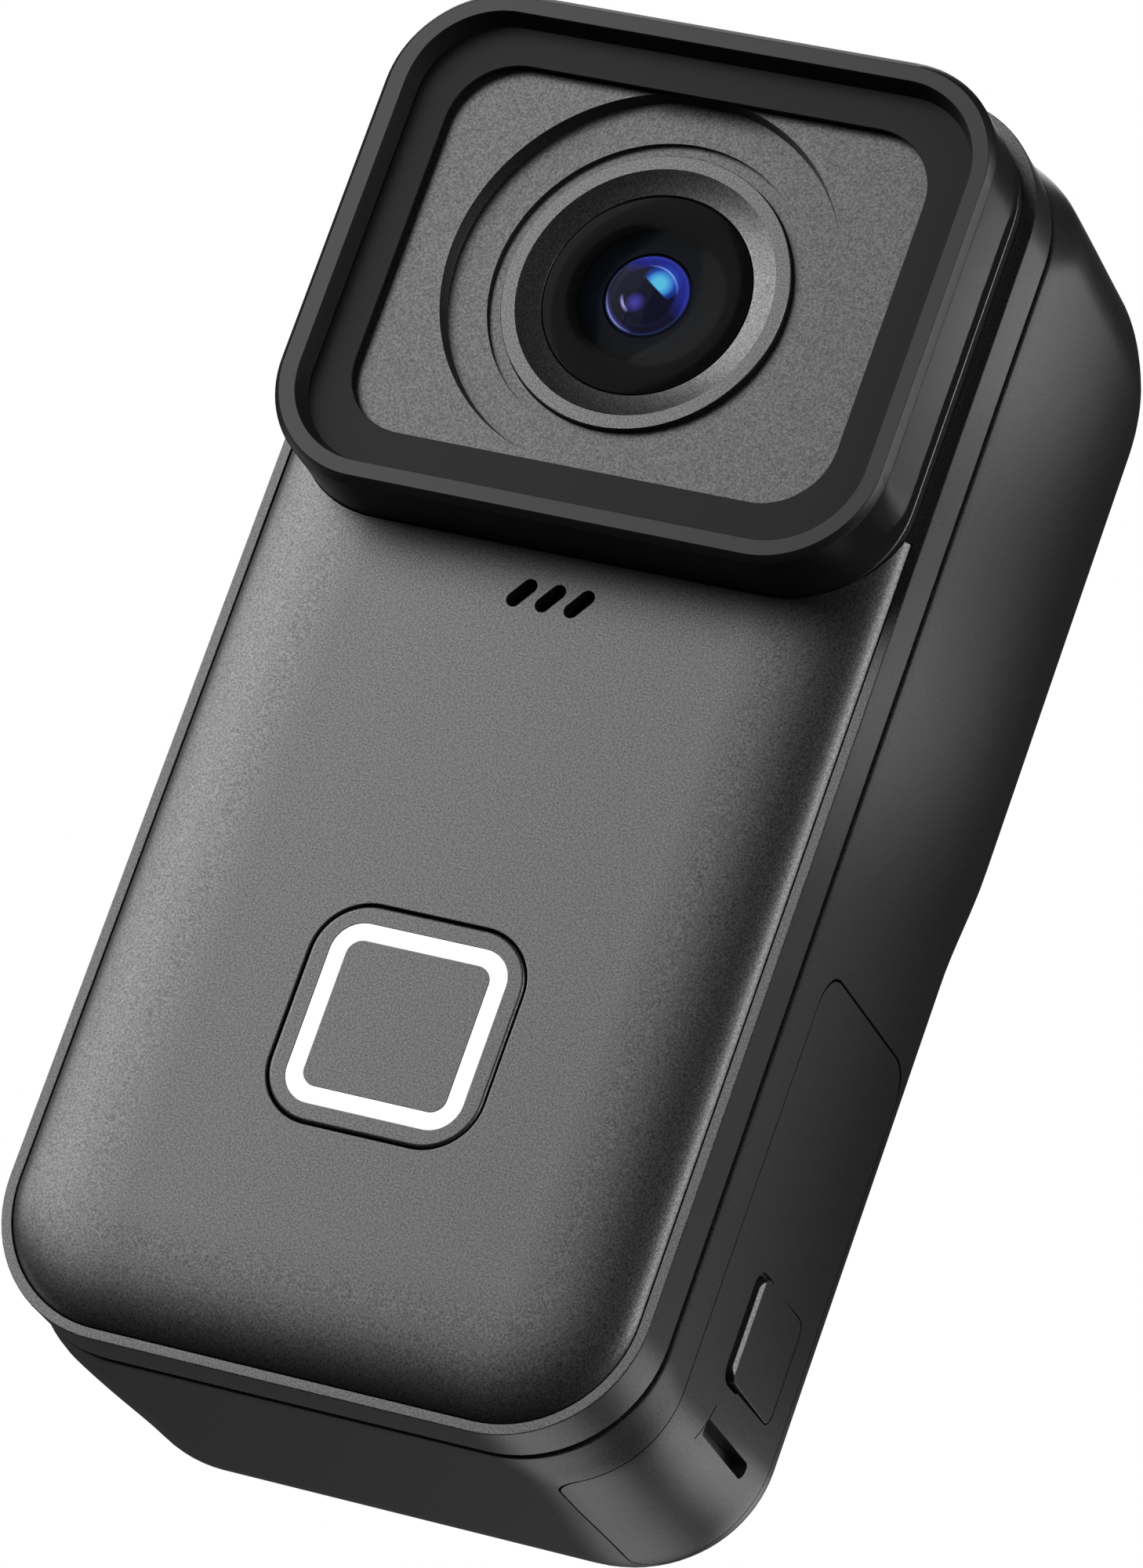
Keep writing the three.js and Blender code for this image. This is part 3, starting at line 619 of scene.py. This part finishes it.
def lens_parts():
    face = BEZEL_FACE
    bezel = [(BEZEL_IN, -1.78), (6.84, -1.81), (8.36, face + 0.01), (8.38, face), (9.26, face),
             (BEZEL_OUT, face + 0.04), (BEZEL_OUT, 0.2), (BEZEL_IN, 0.2), (BEZEL_IN, -1.78)]
    obj = to_object("lens_bezel_ring", lathe(bezel, LENS_Z, 160), 24)
    keep(obj, BEZEL, "camera", "panel", "lens_bezel")

    glass = [(RING_IN, -1.62), (2.9, -1.7), (4.4, -1.76), (4.5, -1.79), (6.6, -1.81), (6.72, -1.78),
             (RING_OUT, -1.7), (RING_OUT, -0.9), (RING_IN, -0.9), (RING_IN, -1.62)]
    obj = to_object("lens_face", lathe(glass, LENS_Z, 128), 24)
    keep(obj, lens_face_material(), "camera", "black_glass", "lens_face_ring")

    steps = 16
    dome = [(DOME_R * i / steps, DOME_FRONT + DOME_DROP * (i / steps) ** 2) for i in range(steps + 1)]
    dome += [(DOME_R + 0.06, -1.62), (DOME_R + 0.06, 0.0), (0, 0.3)]
    obj = to_object("lens_element", lathe(dome, LENS_Z, 96), 40)
    keep(obj, element_material(), "camera", "coated_glass", "lens_front_element")


def radial(tree):
    """Distance from the lens axis, in mm, and the position across the lens."""
    coords = tree.nodes.new("ShaderNodeTexCoord")
    shift = tree.nodes.new("ShaderNodeVectorMath")
    shift.operation = "SUBTRACT"
    shift.inputs[1].default_value = (0, 0, LENS_Z * MM)
    tree.links.new(coords.outputs["Object"], shift.inputs[0])
    scale = tree.nodes.new("ShaderNodeVectorMath")
    scale.operation = "MULTIPLY"
    scale.inputs[1].default_value = (1 / MM, 0, 1 / MM)
    tree.links.new(shift.outputs[0], scale.inputs[0])
    length = tree.nodes.new("ShaderNodeVectorMath")
    length.operation = "LENGTH"
    tree.links.new(scale.outputs[0], length.inputs[0])
    return length.outputs["Value"], scale.outputs[0]


def rings_of_colour(tree, value, stops, scale):
    """Colours by distance: stops are (mm from the axis, colour), up to scale mm."""
    ramp = tree.nodes.new("ShaderNodeValToRGB")
    divide = tree.nodes.new("ShaderNodeMath")
    divide.operation = "DIVIDE"
    divide.inputs[1].default_value = scale
    tree.links.new(value, divide.inputs[0])
    tree.links.new(divide.outputs[0], ramp.inputs["Fac"])
    elements = ramp.color_ramp.elements
    while len(elements) < len(stops):
        elements.new(0.5)
    for element, (position, color) in zip(elements, stops):
        element.position = position / scale
        element.color = (*color, 1.0)
    return ramp.outputs["Color"]


def lens_face_material():
    """Black glass with the faint tone steps of the stacked rings behind it."""
    material, tree, bsdf = shader("lens_face_glass", (0.004, 0.004, 0.005), 0.1, 0.0, 0.018)
    radius, _ = radial(tree)
    stops = [(2.8, (0.0010, 0.0022, 0.0060)), (3.6, (0.0010, 0.0018, 0.0035)),
             (4.3, (0.0006, 0.0010, 0.0016)), (4.45, (0.0003, 0.0003, 0.0004)),
             (4.6, (0.0016, 0.0016, 0.0018)), (6.7, (0.0024, 0.0024, 0.0026))]
    tree.links.new(rings_of_colour(tree, radius, stops, 7.0), bsdf.inputs["Base Color"])
    dust = noise(tree, 1.0 / (0.8 * MM), 3.0)
    tree.links.new(remap(tree, dust, 0.08, 0.16), bsdf.inputs["Roughness"])
    return material


def spot(tree, position, cx, cz, radius, soft):
    """A round patch of 1 at (cx, cz) mm from the lens axis, falling to 0 over soft mm."""
    shift = tree.nodes.new("ShaderNodeVectorMath")
    shift.operation = "DISTANCE"
    shift.inputs[1].default_value = (cx, 0, cz)
    tree.links.new(position, shift.inputs[0])
    return remap(tree, shift.outputs["Value"], 1.0, 0.0, radius, radius + soft)


def multiply(tree, a, b):
    node = tree.nodes.new("ShaderNodeMath")
    node.operation = "MULTIPLY"
    tree.links.new(a, node.inputs[0])
    tree.links.new(b, node.inputs[1])
    return node.outputs[0]


def mix(tree, mask, a, b):
    node = tree.nodes.new("ShaderNodeMix")
    node.data_type = "RGBA"
    tree.links.new(mask, node.inputs["Factor"])
    for socket, value in ((node.inputs["A"], a), (node.inputs["B"], b)):
        if isinstance(value, tuple):
            socket.default_value = (*value, 1.0)
        else:
            tree.links.new(value, socket)
    return node.outputs["Result"]


def across(tree, position, x, z, start, soft):
    """Rises from 0 to 1 over soft mm, start mm out from the lens axis towards (x, z)."""
    product = tree.nodes.new("ShaderNodeVectorMath")
    product.operation = "DOT_PRODUCT"
    product.inputs[1].default_value = (x, 0, z)
    tree.links.new(position, product.inputs[0])
    return remap(tree, product.outputs["Value"], 0.0, 1.0, start, start + soft)


def element_material():
    """The coated front element: nearly black, with painted reflections and highlights of the lights,
    given as emission so that it glows.
    """
    material, tree, bsdf = shader("coated_element", (0.002, 0.002, 0.006), 0.08, 0.0, 0.012)
    radius, position = radial(tree)
    reach = 3.0
    upper_right = (0.543, 0.839)
    black, white = (0, 0, 0), (1, 1, 1)
    night = (0.004, 0.004, 0.012)
    # Colours of the painted reflections and highlights.
    reflection_blue, reflection_cyan, reflection_violet = (0.016, 0.070, 0.52), (0.10, 0.52, 0.78), (0.055, 0.045, 0.34)
    highlight_pale_blue, highlight_pale_violet = (0.26, 0.38, 0.85), (0.42, 0.40, 0.85)

    # The rim: a faint painted reflection all round, a painted pale highlight at the lower left, and a
    # painted deep blue reflection at the upper right.
    painted_rim_reflection = rings_of_colour(tree, radius, [
        (0.0, night), (1.94, night), (2.05, (0.008, 0.007, 0.022)), (2.35, (0.005, 0.005, 0.015)),
        (2.56, (0.006, 0.007, 0.022)), (2.63, (0.018, 0.028, 0.085)), (2.68, (0.010, 0.018, 0.05)),
        (2.72, (0.003, 0.004, 0.008))], reach)
    painted_rim_highlight = rings_of_colour(tree, radius, [
        (0.0, night), (2.30, night), (2.50, (0.03, 0.03, 0.16)), (2.60, (0.28, 0.30, 0.68)),
        (2.66, (0.03, 0.07, 0.20)), (2.72, (0.003, 0.004, 0.010))], reach)
    edge = mix(tree, spot(tree, position, -1.82, -1.88, 0.5, 1.3), painted_rim_reflection, painted_rim_highlight)
    painted_rim_blue_reflection = rings_of_colour(tree, radius, [
        (0.0, night), (1.80, night), (1.90, (0.014, 0.018, 0.16)), (2.03, (0.018, 0.022, 0.20)),
        (2.40, (0.016, 0.020, 0.24)), (2.64, (0.03, 0.04, 0.36)), (2.72, (0.004, 0.005, 0.014))], reach)
    color = mix(tree, across(tree, position, *upper_right, 0.1, 1.4), edge, painted_rim_blue_reflection)

    # The large half-round painted reflection, cyan inside blue, and the pale painted highlight streak
    # outside it.
    half = across(tree, position, *upper_right, 0.62, 0.10)
    color = mix(tree, multiply(tree, half, spot(tree, position, 0.72, 0.92, 0.75, 0.60)), color, reflection_blue)
    color = mix(tree, multiply(tree, half, spot(tree, position, 0.60, 0.78, 0.40, 0.60)), color, reflection_cyan)
    painted_streak_highlight = rings_of_colour(tree, radius, [
        (0.0, black), (1.86, black), (1.96, white), (2.04, black)], reach)
    painted_streak_highlight = multiply(tree, painted_streak_highlight, spot(tree, position, 1.07, 1.65, 0.3, 1.3))
    color = mix(tree, painted_streak_highlight, color, highlight_pale_blue)

    # The small painted violet reflection at the lower left, and the pale painted highlight sickle beside
    # it.
    color = mix(tree, spot(tree, position, -0.51, -0.71, 0.10, 0.62), color, reflection_violet)
    painted_sickle_highlight = rings_of_colour(tree, radius, [
        (0.0, black), (1.46, black), (1.56, white), (1.64, (0.6, 0.6, 0.6)), (1.74, black)], reach)
    glint = multiply(tree, painted_sickle_highlight, spot(tree, position, -1.30, -0.93, 0.15, 0.55))
    color = mix(tree, glint, color, highlight_pale_violet)
    # The painted reflections and highlights go into the emission, so the element glows with them.
    tree.links.new(color, bsdf.inputs["Emission Color"])
    bsdf.inputs["Emission Strength"].default_value = 0.95
    return material


# ---------------------------------------------------------------- lens guard
def lens_guard():
    front, bevel, lip = GUARD_FRONT, GUARD_BEVEL, GUARD_LIP
    outside = [(0.12, GUARD_BACK), (0.03, GUARD_BACK - 0.03), (0.0, GUARD_BACK - 0.12), (0.0, -1.8),
               (0.0, front + bevel + 0.02), (0.02, front + bevel - 0.02),
               (bevel - 0.02, front + 0.02), (bevel + 0.02, front)]
    obj = to_object("guard_shell", plate(GUARD, GUARD_Z, outside, 22))
    mouth = [(lip - 0.04, front - 1), (lip - 0.04, front), (lip, front + 0.04), (lip + 0.4, WINDOW_SEAT),
             (1.2, WINDOW_SEAT), (1.2, 2)]
    boolean(obj, plate(GUARD, GUARD_Z, mouth, 22))
    finish_mesh(obj, 28)
    keep(obj, GUARD_BLACK, "lens_guard", "guard", "guard_frame")

    size = tuple(v - WINDOW_INSET for v in GUARD)
    mask = to_object("guard_mask_plate", plate(size, GUARD_Z, [(0, MASK_FRONT), (0, MASK_BACK)], 22))
    opening = [(-0.12, -5), (-0.05, MASK_FRONT - 0.01), (0.0, MASK_FRONT + 0.05), (0.0, -3)]
    boolean(mask, plate(MASK_OPENING, LENS_Z, opening))
    finish_mesh(mask)
    keep(mask, MASK, "lens_guard", "guard", "guard_mask")

    edge = [(0.04, GLASS_FRONT), (0, GLASS_FRONT + 0.04), (0, GLASS_BACK - 0.04), (0.04, GLASS_BACK)]
    glass = to_object("guard_glass", plate(size, GUARD_Z, edge))
    keep(glass, WINDOW, "lens_guard", "clear_glass", "guard_window")
    glass.visible_diffuse = False
    glass.visible_glossy = False


# ---------------------------------------------------------------- rear shell, screen, power button
def rear_shell():
    obj = to_object("rear_body", shell_solid(0, SHELL_FRONT, SHELL_LIP))
    boolean(obj, shell_solid(WALL, SHELL_FRONT - 1))
    boolean(obj, door_cutter(0.06, 0.06))
    half_x = (screen_high[0] - screen_low[0]) / 2
    half_z = (screen_high[2] - screen_low[2]) / 2
    z = (screen_high[2] + screen_low[2]) / 2
    pocket = [(1.6, 25), (1.6, BACK - 1.0), (0, BACK - 1.0), (0, BACK - 0.08), (-0.08, BACK + 0.01),
              (-0.2, 40)]
    boolean(obj, plate((half_x + 0.1, half_z + 0.1, SCREEN_CORNER + 0.1), z, pocket))
    boolean(obj, prism(power_outline(0.22), -OUTSIDE, -15, "x"))
    finish_mesh(obj, 30)
    keep(obj, SHELL, "camera", "shell", "rear_shell")

    pane = [(0, BACK - 0.85), (0, BACK - 0.2), (0.06, BACK - 0.1), (0.25, BACK - 0.05)]
    glass = to_object("screen_pane", plate((half_x, half_z, SCREEN_CORNER), z, pane))
    keep(glass, BLACK_GLASS, "camera", "black_glass", "screen_glass")


def power_outline(grow):
    """The power key's outline seen from the side, as (y, z)."""
    low, high = span("power_button")
    y = (low[1] + high[1]) / 2 - FACE
    z = (low[2] + high[2]) / 2
    return capsule(y, z, KEY_LENGTH + 2 * grow, KEY_WIDTH + 2 * grow, 0, 16)


def power_button():
    """An oval key with a rounded edge, set flush in the left side, and the wider flange behind it."""
    profile = [(0.35, -21.5), (0.15, -21.44), (0.04, -21.33), (0.0, -21.15), (0.0, -19.65), (-0.8, -19.6),
               (-0.8, -19.05)]
    rows = [[(x, y, z) for y, z in power_outline(-inset)] for inset, x in profile]
    obj = to_object("power_key_cap", loft(rows))
    keep(obj, SHELL, "power_key", "shell", "power_button")


# ---------------------------------------------------------------- battery door
def latch_outline(grow):
    """The latch's outline seen from the side, as (y, z)."""
    low, high = latch_low[2], latch_high[2]
    return rounded(LATCH_FRONT - grow, LATCH_BACK + grow, low - grow, high + grow, LATCH_CORNER + grow)


def latch_wedge():
    """The latch's section seen from above: proud behind its sloped front edge, flush at its rear."""
    inner = HALF_WIDTH - LATCH_DEPTH
    return [(inner, LATCH_FRONT - 1.09), (latch_high[0], LATCH_FRONT + 0.22),
            (HALF_WIDTH + 0.01, LATCH_BACK - 0.4), (HALF_WIDTH, LATCH_BACK + 2), (inner, LATCH_BACK + 2)]


def battery_door():
    obj = to_object("door_panel", shell_solid(0, SHELL_FRONT))
    boolean(obj, shell_solid(WALL, SHELL_FRONT - 1))
    boolean(obj, door_cutter(-0.06, -0.13), "INTERSECT")
    lip = to_object("lip", prism(rounded(10.9, 24.1, 6.9, 33.3, 2, 8), 18.35, 20.2, "x"))
    boolean(lip, prism(rounded(12.1, 22.9, 8.1, 32.1, 1, 8), 17, 22, "x"))
    boolean(obj, as_bmesh(lip), "UNION")
    boss = prism([(14.1, 9.6), (24.05, 9.6), (24.05, 18.2), (14.1, 18.2)], 18.3, 20.2, "x")
    boolean(obj, boss, "UNION")
    boolean(obj, prism(latch_outline(0.12), HALF_WIDTH - 2.3, OUTSIDE, "x"))
    dip = rounded(LATCH_FRONT - 0.65, LATCH_FRONT + 3, latch_low[2] - 0.3, latch_high[2] + 0.3, 1.2)
    boolean(obj, prism(dip, HALF_WIDTH - 0.3, OUTSIDE, "x"))
    nail = rounded(14.4, 23.0, 6.6, 7.7, (0.3, 0.55, 0.55, 0.3), 8)
    boolean(obj, prism(nail, HALF_WIDTH - NAIL_DEPTH, OUTSIDE, "x"))
    slit = [(13.75, 6.1), (13.87, 6.06), (15.0, 8.72), (14.88, 8.76)]
    boolean(obj, prism(slit, HALF_WIDTH - SLIT_DEPTH, OUTSIDE, "x"))
    boolean(obj, hinge_bore(0.4))
    finish_mesh(obj, 30)
    keep(obj, SHELL, "door", "shell", "battery_door")

    latch = to_object("latch_pad", prism(latch_outline(0.0), 19, OUTSIDE, "x"))
    boolean(latch, prism(latch_wedge(), 0, 40, "z"), "INTERSECT")
    finish_mesh(latch, 30, 0.05, 2, 30)
    keep(latch, SHELL, "latch", "shell", "door_latch")


def hinge_bore(radius):
    """The round space for the hinge pin, right through the door from front to back."""
    low, high = span("door_hinge_pin")
    x, z = (low[0] + high[0]) / 2, (low[2] + high[2]) / 2
    return lathe([(0, 0), (radius, 0), (radius, 40), (0, 40)], z, 24, x)


front_frame()
front_panel()
microphone_mesh()
record_button()
lens_block()
lens_parts()
lens_guard()
rear_shell()
power_button()
battery_door()

LOOKS = (
    (RUBBER, ("body_seal", "guard_seal", "record_button_seal", "door_seal")),
    (STEEL, ("microphone", "case_screw_1", "case_screw_2", "case_screw_3", "case_screw_4",
             "memory_card_socket", "usb_socket", "latch_spring", "door_hinge_pin")),
    (ALUMINIUM, ("heat_spreader",)),
    (GOLD, ("battery_contacts",)),
    (BATTERY, ("battery",)),
    (WELL, ("record_switch", "lens_barrel", "display_module", "power_switch", "battery_bay",
            "memory_card")),
    (BLACK_GLASS, ("lens_rear_element", "image_sensor")),
    (BOARD, ("button_board", "sensor_board", "main_board")),
)
for look, names in LOOKS:
    for name in names:
        nodes[name].data.materials.clear()
        nodes[name].data.materials.append(look)


# ---------------------------------------------------------------- camera, light and floor
CAMERA_PLACE = Vector((0.22865, -0.50116, -0.12628))
CAMERA_FORWARD = Vector((-0.3975, 0.86837, 0.29653))
CAMERA_ROLL, CAMERA_LENS, CAMERA_SENSOR = 19.72, 214.1, 36.0


def aim(obj, location, target, roll=0.0):
    """Puts obj at location, looking at target, turned by roll degrees about its line of sight."""
    place_at, towards = Vector(location), Vector(target)
    turn = (towards - place_at).to_track_quat("-Z", "Y").to_matrix().to_4x4()
    obj.matrix_world = Matrix.Translation(place_at) @ turn @ Matrix.Rotation(math.radians(roll), 4, "Z")


def view_camera():
    data = bpy.data.cameras.new("view")
    data.lens = CAMERA_LENS
    data.sensor_width = CAMERA_SENSOR
    data.clip_start = 0.01
    obj = bpy.data.objects.new("view", data)
    bpy.context.scene.collection.objects.link(obj)
    aim(obj, CAMERA_PLACE, CAMERA_PLACE + CAMERA_FORWARD, CAMERA_ROLL)
    bpy.context.scene.camera = obj


# Lights, in metres, degrees and watts. Soft boxes stand STUDIO away from MIDDLE; WALL_MIRROR points
# from the right wall to where it reflects the camera's view.
MIDDLE = Vector((0, 0, 0.045))
STUDIO = 0.8
WALL_MIRROR = Vector((0.404, 0.867, 0.292)).normalized()
BEAM_REACH, BEAM_WIDTH, BEAM_SPREAD = 0.35, 0.004, 3.2
SOFTBOXES = (
    # name, azimuth from and to, height from and to, power
    ("key_edge", 20, 32, 0, 38, 1.19),
    ("key", 32, 50, 0, 38, 3.47),
    ("key_far", 50, 80, 0, 38, 3.96),
    ("strip", -65, -45, 0, 38, 4.27),
    ("strip_far", -90, -65, 0, 38, 1.85),
    ("side_fill", -170, -140, 0, 40, 0.03),
    ("under_back", 140, 170, -35, 0, 0.05),
    ("back_fill", 130, 170, 30, 60, 1.6),
    ("back_low", 165, 200, -50, -22, 0.8),
    ("low_right", -115, -75, -40, -12, 0.9),
    ("low_left", 75, 115, -40, -12, 0.9),
)
BEAMS = (
    # name, height of its middle in mm, height of the beam in mm, power
    ("beam_top", 84, 24, 3.0e-5),
    ("beam_upper", 66, 40, 2.7e-5),
    ("beam_lower", 30, 50, 1.3e-5),
)


def area(name, location, target, size, power, size_y=None, spread=180.0):
    data = bpy.data.lights.new(name, "AREA")
    data.energy = power
    data.shape = "RECTANGLE"
    data.size = size
    data.size_y = size_y or size
    data.spread = math.radians(spread)
    obj = bpy.data.objects.new(name, data)
    bpy.context.scene.collection.objects.link(obj)
    obj.visible_camera = False
    aim(obj, location, target)


def softbox(name, left, right, low, high, power):
    """A flat light that fills a band of azimuths, from the front and + to the left, and of heights."""
    a = math.radians((left + right) / 2)
    e = math.radians((low + high) / 2)
    offset = Vector((-math.sin(a) * math.cos(e), -math.cos(a) * math.cos(e), math.sin(e))) * STUDIO
    width = 2 * STUDIO * math.cos(e) * math.tan(math.radians(abs(right - left) / 2))
    height = 2 * STUDIO * math.tan(math.radians((high - low) / 2))
    area(name, MIDDLE + offset, MIDDLE, width, power, height)


def side_beam(name, z, height, power):
    """A narrow beam from behind on the right, grazing the front of the right wall at height z mm."""
    point = Vector((HALF_WIDTH, 4 + FACE, z)) * MM
    area(name, point + WALL_MIRROR * BEAM_REACH, point, BEAM_WIDTH, power, height * MM, BEAM_SPREAD)


def world():
    """White behind the object, and weak even light all round it."""
    studio = bpy.data.worlds.new("studio")
    bpy.context.scene.world = studio
    studio.use_nodes = True
    tree = studio.node_tree
    tree.nodes.clear()
    output = tree.nodes.new("ShaderNodeOutputWorld")
    white = tree.nodes.new("ShaderNodeBackground")
    white.inputs["Strength"].default_value = 1.0
    white.inputs["Color"].default_value = (1, 1, 1, 1)
    soft = tree.nodes.new("ShaderNodeBackground")
    soft.inputs["Color"].default_value = (1, 1, 1, 1)
    soft.inputs["Strength"].default_value = 0.025
    path = tree.nodes.new("ShaderNodeLightPath")
    blend = tree.nodes.new("ShaderNodeMixShader")
    tree.links.new(path.outputs["Is Camera Ray"], blend.inputs["Fac"])
    tree.links.new(soft.outputs[0], blend.inputs[1])
    tree.links.new(white.outputs[0], blend.inputs[2])
    tree.links.new(blend.outputs[0], output.inputs["Surface"])


def floor():
    """A plain pale floor under the camera, drawn only on its upper side."""
    bm = bmesh.new()
    half, drop = 0.9, 0.0005
    corners = [(-half, -half), (half, -half), (half, half), (-half, half)]
    bm.faces.new([bm.verts.new((x, y, -drop)) for x, y in corners])
    mesh = bpy.data.meshes.new("floor")
    bm.to_mesh(mesh)
    bm.free()
    obj = bpy.data.objects.new("floor", mesh)
    bpy.context.scene.collection.objects.link(obj)
    material, tree, bsdf = shader("floor_paper", (0.82, 0.82, 0.82), 0.8)
    grain = tint(tree, noise(tree, 1.0 / (1.5 * MM), 3.0), (0.80, 0.80, 0.80), (0.84, 0.84, 0.84))
    tree.links.new(grain, bsdf.inputs["Base Color"])
    bsdf.inputs["Emission Color"].default_value = (1.0, 1.0, 1.0, 1.0)
    bsdf.inputs["Emission Strength"].default_value = 0.3
    geometry = tree.nodes.new("ShaderNodeNewGeometry")
    clear = tree.nodes.new("ShaderNodeBsdfTransparent")
    sides = tree.nodes.new("ShaderNodeMixShader")
    tree.links.new(geometry.outputs["Backfacing"], sides.inputs["Fac"])
    tree.links.new(bsdf.outputs["BSDF"], sides.inputs[1])
    tree.links.new(clear.outputs["BSDF"], sides.inputs[2])
    tree.links.new(sides.outputs[0], tree.nodes["Material Output"].inputs["Surface"])
    mesh.materials.append(material)
    obj.visible_diffuse = False
    obj.visible_glossy = False
    obj.visible_transmission = False
    obj.visible_shadow = False


view_camera()
world()
floor()
for soft_light in SOFTBOXES:
    softbox(*soft_light)
for beam in BEAMS:
    side_beam(*beam)
area("foot_glow", (0.0499, 0.062, 0.006), (0.02, 0.01, 0.006), 0.06, 0.0082, 0.025)

scene = bpy.context.scene
scene.view_settings.view_transform = "Standard"
scene.view_settings.look = "None"
